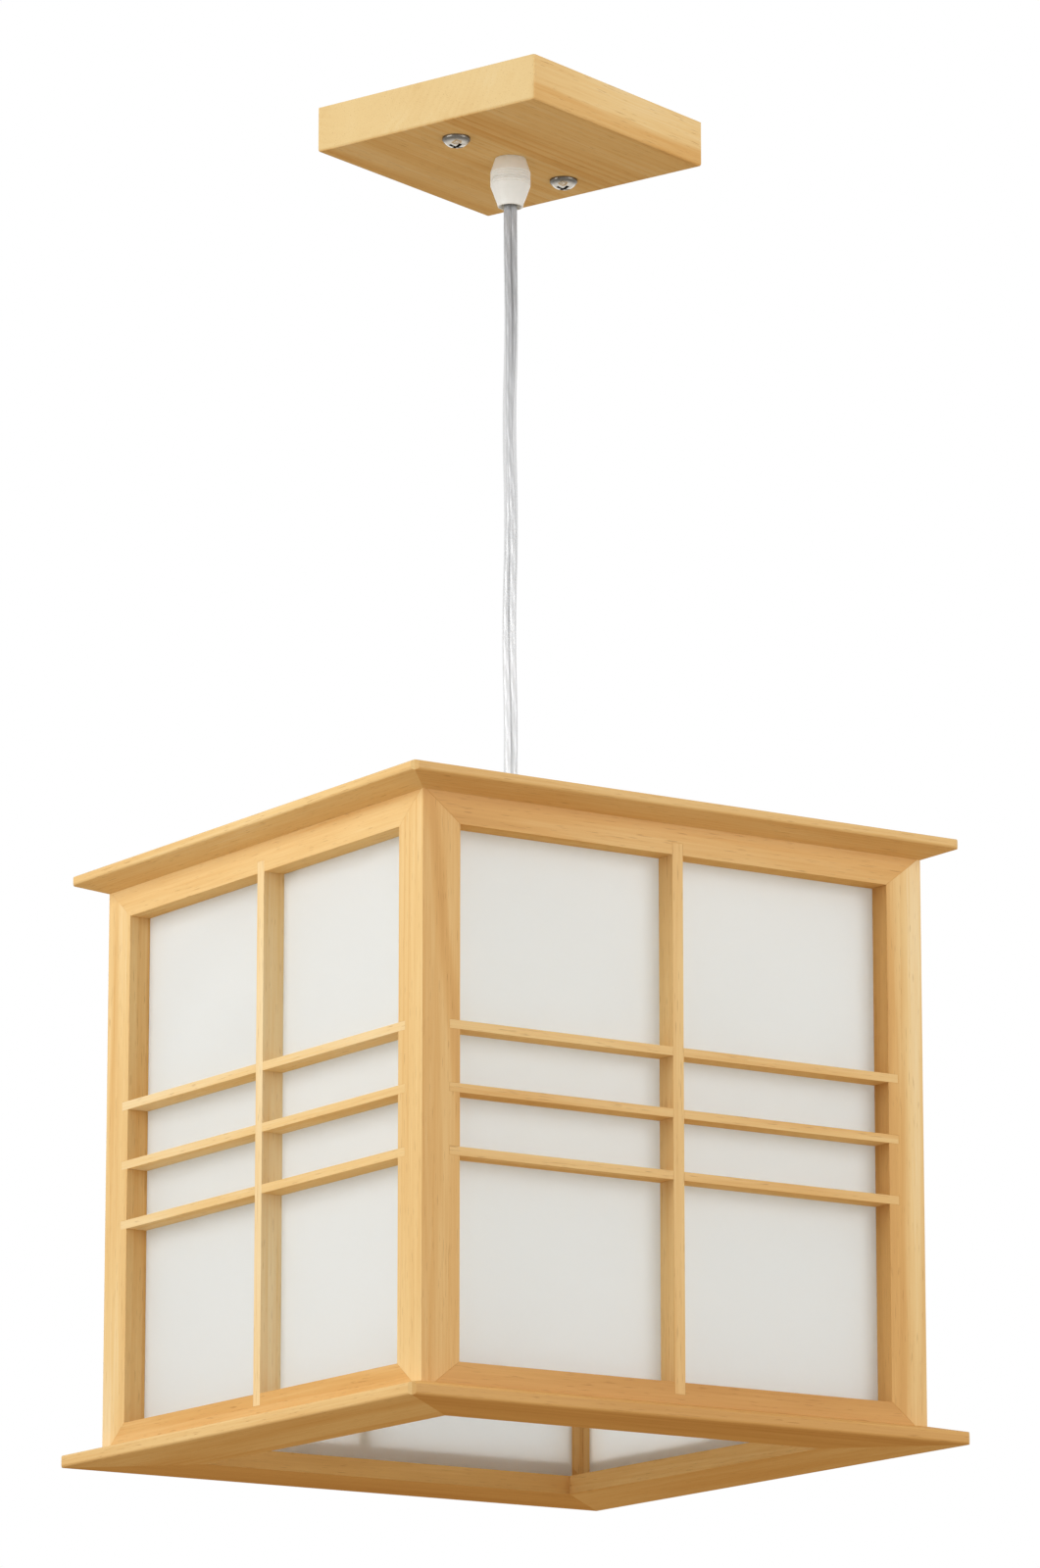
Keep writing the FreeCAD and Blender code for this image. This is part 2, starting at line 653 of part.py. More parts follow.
def hanger_bar():
    body = new_body("hanger_bar", LANTERN_BASE)
    plank = new_sketch(body, "XY_Plane", HANGER_UNDER)
    add_box(plank, (f"-{HANGER_REACH}", "-dim.hanger_width / 2"), (HANGER_REACH, "dim.hanger_width / 2"))
    add_circle(plank, "0", "0", "dim.nipple_diameter / 2 + dim.hole_clearance")
    for x, y in hanger_places():
        add_circle(plank, x, y, "dim.wood_screw_diameter / 2 + dim.hole_clearance")
    pad(body, plank, "dim.hanger_thickness")
    sinks = new_sketch(body, "XY_Plane", HANGER_UNDER)
    for x, y in hanger_places():
        add_circle(sinks, x, y, "dim.wood_screw_head / 2 + dim.hole_clearance")
    pocket(body, sinks, "dim.wood_screw_diameter / 2", back=True)


def hanger_screws():
    body = new_body("hanger_screws", LANTERN_BASE)
    body.AllowCompound = True
    heads = new_sketch(body, "XY_Plane", HANGER_UNDER)
    shanks = new_sketch(body, "XY_Plane", HANGER_UNDER)
    for x, y in hanger_places():
        add_circle(heads, x, y, "dim.wood_screw_head / 2")
        add_circle(shanks, x, y, "dim.wood_screw_diameter / 2")
    pad(body, shanks, "dim.hanger_thickness + dim.wood_screw_bite")
    pad(body, heads, "dim.wood_screw_diameter / 2")


# Lampholder under the bar: nipple, lower cord grip, cap, insert, shell, screw shell and centre contact

HOLDER_SEAM = f"({HANGER_UNDER} - dim.holder_cap_height)"
HOLDER_RADIUS = "dim.holder_diameter / 2"
HOLDER_BORE = f"({HOLDER_RADIUS} - dim.holder_wall)"
INSERT_RADIUS = f"({HOLDER_BORE} + dim.insert_seat)"
INSERT_UNDER = f"({HOLDER_SEAM} - dim.insert_flange)"
SHELL_BORE = "(dim.bulb_cap_diameter / 2 + dim.bulb_clearance)"
CONTACT_TOP = f"({INSERT_UNDER} - dim.insert_boss_length)"
BULB_TOP = f"({CONTACT_TOP} - dim.contact_thickness)"


def lampholder():
    nipple = "dim.nipple_diameter / 2"
    grip_foot = f"{HEAD} + dim.nipple_above + dim.thread_clearance"
    thread = f"({nipple} + dim.thread_clearance)"
    turned("nipple", [
        (CORD_BORE, f"{HANGER_UNDER} - dim.nipple_below"), (nipple, f"{HANGER_UNDER} - dim.nipple_below"),
        (nipple, f"{HEAD} + dim.nipple_above"), (CORD_BORE, f"{HEAD} + dim.nipple_above")], LANTERN_BASE)

    turned("lower_cord_grip", [
        (thread, HEAD), ("dim.lower_grip_diameter / 2", HEAD),
        ("dim.lower_grip_diameter / 2", f"{HEAD} + dim.lower_grip_height / 2"),
        ("dim.lower_grip_top_diameter / 2", f"{HEAD} + dim.lower_grip_height"),
        (CORD_BORE, f"{HEAD} + dim.lower_grip_height"), (CORD_BORE, grip_foot), (thread, grip_foot)],
        LANTERN_BASE)

    roof = f"({HANGER_UNDER} - dim.holder_roof)"
    boss = f"({thread} + dim.holder_wall)"
    boss_end = f"({HANGER_UNDER} - dim.nipple_below)"
    turned("lampholder_cap", [
        (thread, HANGER_UNDER), ("dim.holder_cap_top_diameter / 2", HANGER_UNDER),
        (HOLDER_RADIUS, f"{HOLDER_SEAM} + dim.holder_cap_height / 2"), (HOLDER_RADIUS, HOLDER_SEAM),
        (HOLDER_BORE, HOLDER_SEAM), (HOLDER_BORE, f"{HOLDER_SEAM} + dim.holder_cap_height / 2"),
        ("dim.holder_cap_top_diameter / 2 - dim.holder_wall", roof), (boss, roof), (boss, boss_end),
        (thread, boss_end)], LANTERN_BASE)

    seat = f"({INSERT_RADIUS} + dim.seat_clearance)"
    holder_end = f"({HOLDER_SEAM} - dim.holder_shell_length)"
    turned("lampholder_shell", [
        (seat, HOLDER_SEAM), (HOLDER_RADIUS, HOLDER_SEAM), (HOLDER_RADIUS, holder_end),
        (HOLDER_BORE, holder_end), (HOLDER_BORE, INSERT_UNDER), (seat, INSERT_UNDER)], LANTERN_BASE)

    boss_radius = f"({SHELL_BORE} - dim.seat_clearance)"
    turned("lampholder_insert", [
        ("0", HOLDER_SEAM), (INSERT_RADIUS, HOLDER_SEAM), (INSERT_RADIUS, INSERT_UNDER),
        (boss_radius, INSERT_UNDER), (boss_radius, CONTACT_TOP), ("0", CONTACT_TOP)], LANTERN_BASE)

    shell_end = f"({INSERT_UNDER} - dim.screw_shell_length)"
    turned("screw_shell", [
        (SHELL_BORE, INSERT_UNDER), (f"{SHELL_BORE} + dim.screw_shell_wall", INSERT_UNDER),
        (f"{SHELL_BORE} + dim.screw_shell_wall", shell_end), (SHELL_BORE, shell_end)], LANTERN_BASE)

    turned("centre_contact", [
        ("0", CONTACT_TOP), ("dim.contact_diameter / 2", CONTACT_TOP),
        ("dim.contact_diameter / 2", BULB_TOP), ("0", BULB_TOP)], LANTERN_BASE)


# Bulb: an end contact, a screw cap and a hollow pear-shaped globe

def bulb():
    cap_top = f"({BULB_TOP} - dim.bulb_tip_height)"
    cap_end = f"({cap_top} - dim.bulb_cap_length)"
    cap = "dim.bulb_cap_diameter / 2"
    tip = "dim.bulb_tip_diameter / 2"
    turned("bulb_contact", [
        ("0", BULB_TOP), (f"{tip} / 2", BULB_TOP), (tip, cap_top), ("0", cap_top)], LANTERN_BASE)
    turned("bulb_cap", [
        ("0", cap_top), (tip, cap_top), (cap, f"{cap_top} - dim.bulb_cap_taper"), (cap, cap_end),
        ("0", cap_end)], LANTERN_BASE)

    # The globe is a ball whose neck leaves it along a tangent cone and ends inside the cap's rim.
    radius = measure("dim.bulb_diameter / 2")
    wall = measure("dim.bulb_wall")
    rim = measure(cap)
    height = measure(cap_end)
    centre = measure(f"{BULB_TOP} - dim.bulb_length + dim.bulb_diameter / 2")

    def half_outline(ball, neck):
        """Axis point, tangent point and neck point of a ball with a cone that touches it."""
        rise = height - centre
        reach = math.hypot(rise, neck)
        turn = math.atan2(rise, neck) - math.acos(ball / reach)
        touch = Vector(ball * math.cos(turn), 0, centre + ball * math.sin(turn))
        middle = (turn - math.pi / 2) / 2
        belly = Vector(ball * math.cos(middle), 0, centre + ball * math.sin(middle))
        return Vector(0, 0, centre - ball), belly, touch, Vector(neck, 0, height)

    low, belly, touch, neck = half_outline(radius, rim)
    low_in, belly_in, touch_in, neck_in = half_outline(radius - wall, rim - wall)
    outline = Part.Wire([
        Part.Arc(low, belly, touch).toShape(), Part.LineSegment(touch, neck).toShape(),
        Part.LineSegment(neck, neck_in).toShape(), Part.LineSegment(neck_in, touch_in).toShape(),
        Part.Arc(touch_in, belly_in, low_in).toShape(), Part.LineSegment(low_in, low).toShape()])
    globe = doc.addObject("Part::Feature", "bulb_globe")
    globe.Label = "bulb_globe"
    globe.Shape = Part.Face(outline).revolve(Vector(), Vector(0, 0, 1), 360)
    globe.setExpression("Placement.Base.z", LANTERN_BASE)


# Assembly, from the ceiling down

ceiling_plate()
ceiling_bracket()
plate_screws()
cord_grip()
terminal_block()
cord()
for side_index, side_name in enumerate(SIDES):
    side_turn = f"360 * {side_index} / {len(SIDES)}"
    lantern_side(side_name, side_turn)
    cornice_member(side_name, side_turn)
    ring_member(side_name, side_turn)
hanger_bar()
hanger_screws()
lampholder()
bulb()
doc.recompute()

# Every feature has to be sound before anything is written

CONSTRUCTION = ("cord_run", "cord_cup")
pieces = []
for item in doc.Objects:
    if {"Invalid", "Error"} & set(item.State):
        raise RuntimeError(f"{item.Name} failed: {item.State}")
    in_body = item.getParentGeoFeatureGroup() is not None
    if hasattr(item, "Shape") and not in_body and item.Name not in CONSTRUCTION:
        if item.Shape.isNull() or not item.Shape.isValid() or not item.Shape.Solids:
            raise RuntimeError(f"{item.Label} has no sound solid")
        pieces.append(item)

os.makedirs("parts", exist_ok=True)
for piece in pieces:
    piece.Shape.exportStep(f"parts/{piece.Label}.step")
cord_length = measure(f"{PIVOT} - {LANTERN_BASE} - {CORD_END}")
print(f"{len(pieces)} pieces, cord {cord_length:.1f} mm straight")
print(f"ring underside at {measure(LANTERN_BASE):.1f}")
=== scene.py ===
import math

import bmesh
import bpy
import numpy as np
from mathutils import Euler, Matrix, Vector


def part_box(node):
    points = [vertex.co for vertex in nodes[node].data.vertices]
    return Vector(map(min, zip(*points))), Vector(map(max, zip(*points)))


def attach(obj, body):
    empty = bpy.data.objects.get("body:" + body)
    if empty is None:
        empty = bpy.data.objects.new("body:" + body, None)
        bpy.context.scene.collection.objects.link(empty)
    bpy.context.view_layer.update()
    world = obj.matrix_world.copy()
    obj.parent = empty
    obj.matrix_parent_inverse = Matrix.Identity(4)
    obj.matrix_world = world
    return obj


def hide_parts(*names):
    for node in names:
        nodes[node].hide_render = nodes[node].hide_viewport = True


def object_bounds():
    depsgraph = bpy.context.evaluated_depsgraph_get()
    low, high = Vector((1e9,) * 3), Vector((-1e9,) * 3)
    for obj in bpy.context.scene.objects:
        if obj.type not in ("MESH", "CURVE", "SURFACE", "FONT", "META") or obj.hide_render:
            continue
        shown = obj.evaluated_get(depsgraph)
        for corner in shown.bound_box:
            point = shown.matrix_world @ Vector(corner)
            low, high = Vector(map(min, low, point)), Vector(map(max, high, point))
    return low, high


# Packed lamp
# Its solids are the frame that everything below dresses or is built around.
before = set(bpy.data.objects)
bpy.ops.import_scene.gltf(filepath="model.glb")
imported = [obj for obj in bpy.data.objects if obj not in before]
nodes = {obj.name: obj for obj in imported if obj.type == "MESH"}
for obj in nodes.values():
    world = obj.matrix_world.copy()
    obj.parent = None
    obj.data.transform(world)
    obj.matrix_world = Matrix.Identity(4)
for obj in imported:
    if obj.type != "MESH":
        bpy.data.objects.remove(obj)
cad_low, cad_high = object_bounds()
collection = bpy.context.scene.collection

# Viewpoint
# A long lens looks up at the lantern's near corner from under its ring.
# The picture is upright, 1600 pixels high, and that long side is the sensor's width.
PICTURE_HEIGHT = 1600
FOCAL_PIXELS = 7158
SENSOR = 36.0
AZIMUTH = math.radians(-33.63)
ELEVATION = math.radians(-12.79)
CAMERA_DISTANCE = 3.009
AIM_ABOVE_RING = 0.2895
AIM_ASIDE = 0.0042

lens = bpy.data.cameras.new("viewpoint")
lens.sensor_width = SENSOR
lens.lens = FOCAL_PIXELS / PICTURE_HEIGHT * SENSOR
camera = bpy.data.objects.new("viewpoint", lens)
collection.objects.link(camera)
bpy.context.scene.camera = camera
backward = Vector((math.sin(AZIMUTH) * math.cos(ELEVATION), -math.cos(AZIMUTH) * math.cos(ELEVATION),
                   math.sin(ELEVATION)))
sideways = Vector((math.cos(AZIMUTH), math.sin(AZIMUTH), 0))
aim = sideways * AIM_ASIDE + Vector((0, 0, cad_low.z + AIM_ABOVE_RING))
camera.location = aim + backward * CAMERA_DISTANCE
camera.rotation_mode = "QUATERNION"
camera.rotation_quaternion = (-backward).to_track_quat("-Z", "Y")

# Studio
# A round pale floor a room's height under the ceiling, which fades into the white surround.
# The surround lights softly, with one large soft lamp on the left and another in front.
ROOM_HEIGHT = 2.4
FLOOR_FADE = 4.5
FLOOR_REACH = 8.0
FLOOR_SIDES = 96
FLOOR_PALE = (0.82, 0.79, 0.74, 1)
FLOOR_BOUNCE = (0.92, 0.72, 0.48, 1)
FLOOR_GLOW = (0.4, 0.4, 0.4, 1)
SURROUND_LIGHT = 0.43
WHITE = (1, 1, 1, 1)
BLACK = (0, 0, 0, 1)


class Shade:
    """An output socket of a node tree. Arithmetic on it adds Math nodes, node() any other kind."""

    def __init__(self, tree, socket=None):
        self.tree = tree
        self.socket = socket

    def node(self, kind, inputs=(), out=0, stops=(), **settings):
        """Adds a node with its settings, then fills its inputs with values or links. Gives one output."""
        made = self.tree.nodes.new("ShaderNode" + kind)
        for name, value in settings.items():
            setattr(made, name, value)
        for number, (position, colour) in enumerate(stops):
            ramp = made.color_ramp.elements
            stop = ramp[number] if number < len(ramp) else ramp.new(position)
            stop.position = position
            stop.color = colour
        for name, value in dict(inputs).items():
            if isinstance(value, Shade):
                self.tree.links.new(value.socket, made.inputs[name])
            else:
                made.inputs[name].default_value = value
        return Shade(self.tree, made.outputs[out] if made.outputs else None)

    def math(self, operation, *values):
        """The result of one Math node on values or links."""
        return self.node("Math", dict(enumerate(values)), operation=operation)

    def __add__(self, other):
        return self.math("ADD", self, other)

    def __sub__(self, other):
        return self.math("SUBTRACT", self, other)

    def __rsub__(self, other):
        return self.math("SUBTRACT", other, self)

    def __mul__(self, other):
        return self.math("MULTIPLY", self, other)

    def __pow__(self, other):
        return self.math("POWER", self, other)

    __radd__ = __add__
    __rmul__ = __mul__

    def between(self, low, high):
        """How far the value lies from low to high, from 0 to 1, smoothed."""
        return self.node("MapRange", {"Value": self, "From Min": low, "From Max": high},
                         interpolation_type="SMOOTHSTEP")

    def mix(self, low, high):
        """A colour between two others, by this value."""
        return self.node("Mix", {0: self, 6: low, 7: high}, out=2, data_type="RGBA")

    def noise(self, scale, detail=2.0):
        """Noise from 0 to 1 on this vector, with a scale for each axis."""
        stretched = self.node("VectorMath", {0: self, 1: scale}, operation="MULTIPLY")
        return self.node("TexNoise", {"Vector": stretched, "Scale": 1.0, "Detail": detail})


def new_finish(name):
    """An empty material and the start of its nodes."""
    material = bpy.data.materials.new(name)
    material.use_nodes = True
    material.node_tree.nodes.clear()
    return material, Shade(material.node_tree)


def seen_directly(shade):
    """1 for rays from the camera, also by mirror or glass, and 0 for those that carry soft light."""
    camera_ray, glossy_ray, glass_ray = (
        shade.node("LightPath", out=f"Is {kind} Ray") for kind in ("Camera", "Glossy", "Transmission"))
    return shade.math("MAXIMUM", shade.math("MAXIMUM", camera_ray, glossy_ray), glass_ray)


def soft_lamp(name, place, size, power):
    """A square lamp that faces the point the camera looks at, and isn't seen itself."""
    data = bpy.data.lights.new(name, "AREA")
    data.size = size
    data.energy = power
    lamp = bpy.data.objects.new(name, data)
    lamp.location = place
    lamp.rotation_mode = "QUATERNION"
    lamp.rotation_quaternion = (aim - Vector(place)).to_track_quat("-Z", "Y")
    lamp.visible_camera = False
    collection.objects.link(lamp)


world = bpy.data.worlds.new("surround")
bpy.context.scene.world = world
world.use_nodes = True
world.node_tree.nodes.clear()
shade = Shade(world.node_tree)
level = seen_directly(shade) * (1 - SURROUND_LIGHT) + SURROUND_LIGHT
shade.node("OutputWorld", {"Surface": shade.node("Background", {"Color": WHITE, "Strength": level})})

soft_lamp("left_lamp", place=(-1.4, 0.0, 0.1), size=1.0, power=14.2)
soft_lamp("front_lamp", place=(0.8, -1.8, 0.15), size=1.2, power=18.5)

floor_finish, shade = new_finish("pale_floor")
seen = seen_directly(shade)
pale = shade.node("BsdfPrincipled", {
    "Base Color": seen.mix(FLOOR_BOUNCE, FLOOR_PALE), "Roughness": 0.9,
    "Emission Color": seen.mix(BLACK, FLOOR_GLOW), "Emission Strength": 1.0})
from_below = shade.node("NewGeometry", out="Backfacing")
place = shade.node("TexCoord", out="Object")
across, along = (shade.node("SeparateXYZ", {0: place}, out=axis) for axis in "XY")
faded = ((across * across + along * along) ** 0.5).between(FLOOR_FADE, FLOOR_REACH)
unseen = shade.math("MAXIMUM", from_below, faded)
shown = shade.node("MixShader", {0: unseen, 1: pale, 2: shade.node("BsdfTransparent")})
shade.node("OutputMaterial", {"Surface": shown})
floor_mesh = bpy.data.meshes.new("floor")
floor_turn = np.linspace(0, 2 * np.pi, FLOOR_SIDES, endpoint=False)
floor_rim = np.stack([np.cos(floor_turn), np.sin(floor_turn), 0 * floor_turn], axis=-1) * FLOOR_REACH
floor_mesh.from_pydata((floor_rim - [0, 0, ROOM_HEIGHT]).tolist(), [], [range(FLOOR_SIDES)])
floor_mesh.materials.append(floor_finish)
floor = bpy.data.objects.new("floor", floor_mesh)
collection.objects.link(floor)
bpy.context.scene.view_settings.view_transform = "Standard"

# Ceiling plate
# A square block of pale straight-grained softwood under satin lacquer, hollow behind, with eased edges.
# The same boards make the lantern, so its finish is worked out here once.
CREAM_WOOD = (250, 228, 184)
PALE_WOOD = (241, 206, 145)
GOLDEN_WOOD = (225, 177, 109)
AMBER_WOOD = (192, 134, 68)
PORE_BROWN = (158, 104, 52)
END_GRAIN = (224, 198, 143)
RING_NARROW = 0.0032
RING_WIDE = 0.0075
RING_DRIFT = 0.012
RING_WAVER = 0.012
RING_UNEVEN = 0.003
PITH_NEAR = 0.03
PITH_FAR = 0.09
BOARD_SPREAD = 2.0
LATE_START = 0.35
LATE_PEAK = 0.92
RING_TONE = 0.13
STREAK_TONE = 0.2
FIBRE_TONE = 0.25
PATCH_TONE = 0.5
PALER_ALL = 0.02
BAND_WANDER = 0.9
PORE_SHARE = 0.4
END_GRAIN_SHARE = 0.75
LACQUER = 0.16
# Noise scales in each metre: along the grain, then both ways across it
WAVER_SCALE = (1.8, 16, 16)
UNEVEN_SCALE = (1.2, 140, 140)
RING_SCALE = (1.5, 35, 35)
STREAK_SCALE = (2.5, 80, 80)
PATCH_SCALE = (5, 50, 50)
BAND_SCALE = (22, 260, 260)
FIBRE_SCALE = (28, 1300, 1300)
PORE_SCALE = (110, 2400, 2400)
# Edges and the way that each board's length lies
EASED = 0.00014
EASE_ANGLE = math.radians(32)
WELD_GAP = 0.00001
GRAIN_UPRIGHT = (0, math.pi / 2, 0)
GRAIN_ALONG_X = (0, 0, 0)
GRAIN_ALONG_Y = (0, 0, -math.pi / 2)
wood_chance = np.random.default_rng(11)


def display(red, green, blue):
    """A colour of 0 to 255 display values as the linear values that shaders take."""
    value = np.array([red, green, blue]) / 255
    linear = np.where(value <= 0.04045, value / 12.92, ((value + 0.055) / 1.055) ** 2.4)
    return (*linear.tolist(), 1)


def wood_finish(name, middle, turn, darker, dark_band):
    """Lacquered softwood for one board, whose length the turn lays along X.

    Growth rings are shells about a pith line beside the board: the fraction of
    (distance from the pith + drift along the length + slow noise) / ring width, darkest near its end.
    Patches, streaks, fibres and pores are noise drawn out along the grain.
    A dark band lies about the line (across, deep) + slope * length and ends over its edge,
    a span of distances from that line counted in its half widths.
    Faces cut across the grain are plainer and duller.
    The satin lacquer is sprayed from the sides, so undersides stay dry."""
    material, shade = new_finish(name)
    ring_width = wood_chance.uniform(RING_NARROW, RING_WIDE)
    aside = wood_chance.uniform(PITH_NEAR, PITH_FAR)
    angle = wood_chance.uniform(0, 2 * math.pi)
    onward = wood_chance.uniform(0, BOARD_SPREAD)
    pith = Vector((onward, aside * math.cos(angle), aside * math.sin(angle)))
    start = pith - Euler(turn).to_matrix() @ middle
    at = shade.node("Mapping", {"Vector": shade.node("TexCoord", out="Object"), "Rotation": turn,
                                "Location": start})
    along, across, deep = (shade.node("SeparateXYZ", {0: at}, out=axis) for axis in "XYZ")
    distance = (across * across + deep * deep) ** 0.5
    wander = at.noise(WAVER_SCALE, detail=1.0) * RING_WAVER + at.noise(UNEVEN_SCALE) * RING_UNEVEN
    season = shade.math("FRACT", (distance + along * RING_DRIFT + wander) * (1 / ring_width))
    late = season.between(LATE_START, LATE_PEAK) - season.between(LATE_PEAK, 1.0)
    depth = at.noise(RING_SCALE).between(0.35, 0.75) * RING_TONE
    streak = at.noise(STREAK_SCALE).between(0.58, 0.8) * STREAK_TONE
    fibre = at.noise(FIBRE_SCALE, detail=3.0)
    patch = at.noise(PATCH_SCALE)
    tone = late * depth + streak + fibre * FIBRE_TONE + patch * PATCH_TONE + (darker - PALER_ALL)
    if dark_band:
        length = along - pith.x
        sides = [(offset - (pith[axis] + dark_band["at"][axis - 1]) - length * dark_band["slope"][axis - 1])
                 * (1 / dark_band["half"][axis - 1]) for axis, offset in ((1, across), (2, deep))]
        reach = (sides[0] ** 2 + sides[1] ** 2) ** 0.5 + at.noise(BAND_SCALE) * BAND_WANDER
        tone = tone + (1 - reach.between(*dark_band["edge"])) * dark_band["tone"]
    colour = shade.node("ValToRGB", {0: tone}, stops=(
        (0.0, display(*CREAM_WOOD)), (0.2, display(*PALE_WOOD)), (0.45, display(*GOLDEN_WOOD)),
        (0.95, display(*AMBER_WOOD))))
    normal = shade.node("TexCoord", out="Normal")
    grain = Euler(turn).to_matrix().inverted() @ Vector((1, 0, 0))
    facing = shade.node("VectorMath", {0: normal, 1: grain}, out="Value", operation="DOT_PRODUCT")
    endwise = shade.math("ABSOLUTE", facing).between(0.6, 0.9) * END_GRAIN_SHARE
    colour = endwise.mix(colour, display(*END_GRAIN))
    pores = at.noise(PORE_SCALE, detail=1.0).between(0.64, 0.76) * PORE_SHARE
    relief = fibre * 0.6 + late * 0.4 - pores
    bump = shade.node("Bump", {"Height": relief, "Strength": 0.25, "Distance": 0.0002})
    upward = shade.node("SeparateXYZ", {0: normal}, out="Z")
    wood = shade.node("BsdfPrincipled", {
        "Base Color": pores.mix(colour, display(*PORE_BROWN)), "Roughness": fibre * 0.2 + 0.36,
        "Specular IOR Level": 0.0, "Coat Weight": upward.between(-0.6, 0.0) * LACQUER,
        "Coat Roughness": 0.3, "Normal": bump})
    shade.node("OutputMaterial", {"Surface": wood})
    return material


def weld(name):
    """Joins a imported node's loose triangles, for the modifiers after it."""
    joined = nodes[name].modifiers.new("weld", "WELD")
    joined.merge_threshold = WELD_GAP


def dress(name, material, eased=0.0):
    """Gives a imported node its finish, and takes off its sharp edges by the given width."""
    nodes[name].material_slots[0].material = material
    if eased:
        weld(name)
        bevel = nodes[name].modifiers.new("eased_edges", "BEVEL")
        bevel.width = eased
        bevel.segments = 2
        bevel.limit_method = "ANGLE"
        bevel.angle_limit = EASE_ANGLE


def dress_board(name, turn, darker=0.0, dark_band=None):
    """Gives a wooden node its own piece of the wood, and takes its arrises off by a hair."""
    low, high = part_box(name)
    dress(name, wood_finish(name + "_wood", (low + high) / 2, turn, darker, dark_band), EASED)


PLATE_TURN = math.radians(18.3)
PLATE_VEIN = {"at": (-0.060, -0.0065), "half": (0.003, 0.0045), "slope": (0, -0.012),
              "edge": (0.9, 1.6), "tone": 0.21}
plate_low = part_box("ceiling_plate")[0]
dress_board("ceiling_plate", (0, 0, -PLATE_TURN), darker=-0.14, dark_band=PLATE_VEIN)

# Ceiling bracket and plate screws
# A zinc-plated steel strip on the ceiling, and two bright pan-head screws that pull the plate up to it.
# The heads have a cross recess and the shanks a rolled thread.
SCREW_FACE_ROWS = 44
SCREW_SIDES = 96
CROSS_ARM = 0.0032
CROSS_RIB = 0.00065
CROSS_DEPTH = 0.002
CROSS_EDGE = 0.00018
PAN_RADIUS = 0.0061
PAN_HEIGHT = 0.0042
PAN_SHANK = 0.002
PAN_DOME = 0.75
PAN_RIM = (0.72 * PAN_RADIUS, 0.95 * PAN_RADIUS)
# Painted shade: the rim's darkening and the recess's near-black colour below; the bright colour is the
# plating.
RIM_SHADE = 0.75
SCREW_BRIGHT = (222, 217, 208)
RECESS_SHADE = (52, 46, 38)
DULL_METAL = 0.72
PRESSED_EDGE = 0.0002
THREAD_PITCH = 0.0007
THREAD_DEPTH = 0.00018
THREAD_ROWS = 6
CREASE = math.radians(35)
DOUBLE_GAP = 1e-7


def deepened(colour, share):
    """A colour of display values as linear ones, darkened to a share of its light."""
    return (*(share * value for value in display(*colour)[:3]), 1)


def metal_finish(name, colour, roughness, mottle, grain):
    """Bare or plated metal: colour and gloss both vary a little, in patches of the given scale."""
    material, shade = new_finish(name)
    at = shade.node("TexCoord", out="Object")
    patch = at.noise((grain, grain, grain), detail=3.0)
    metal = shade.node("BsdfPrincipled", {
        "Base Color": (patch * mottle).mix(display(*colour), deepened(colour, DULL_METAL)),
        "Metallic": 1.0, "Roughness": patch * mottle * 0.4 + roughness})
    shade.node("OutputMaterial", {"Surface": metal})
    return material


def skin(name, *grids):
    """One mesh over grids of points, rows by columns, whose columns wrap round.

    Rows that shrink to a point close as poles, and equal first and last rows close as a ring."""
    points = []
    quads = []
    for grid in grids:
        rows, columns = grid.shape[:2]
        index = np.arange(rows * columns).reshape(rows, columns) + sum(map(len, points))
        beside = np.roll(index, -1, axis=1)
        quads.append(np.stack([index[:-1], beside[:-1], beside[1:], index[1:]], axis=-1).reshape(-1, 4))
        points.append(grid.reshape(-1, 3))
    mesh = bpy.data.meshes.new(name)
    mesh.from_pydata(np.concatenate(points).tolist(), [], np.concatenate(quads).tolist())
    shape = bmesh.new()
    shape.from_mesh(mesh)
    bmesh.ops.remove_doubles(shape, verts=shape.verts, dist=DOUBLE_GAP)
    bmesh.ops.recalc_face_normals(shape, faces=shape.faces)
    shape.to_mesh(mesh)
    shape.free()
    mesh.shade_smooth()
    mesh.set_sharp_from_angle(angle=CREASE)
    piece = bpy.data.objects.new(name, mesh)
    collection.objects.link(piece)
    return piece


def fit(piece, material, slot, body, *replaced):
    """Gives a new piece its finish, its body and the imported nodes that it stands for."""
    piece.data.materials.append(material)
    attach(piece, body)
    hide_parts(*replaced)


def cross_cut(x, y):
    """Depth of a cross recess, full in the middle and half at each arm's end, with sloped walls."""
    def arm(u, v):
        """Depth of the two arms along u: depth * (1 - u / (2 * arm)) between walls and ends."""
        wall = np.clip((CROSS_RIB - np.abs(v)) / CROSS_EDGE + 0.5, 0, 1)
        end = np.clip((CROSS_ARM - np.abs(u)) / CROSS_EDGE + 0.5, 0, 1)
        return CROSS_DEPTH * wall * end * (1 - 0.5 * np.abs(u) / CROSS_ARM)
    return np.maximum(arm(x, y), arm(y, x))


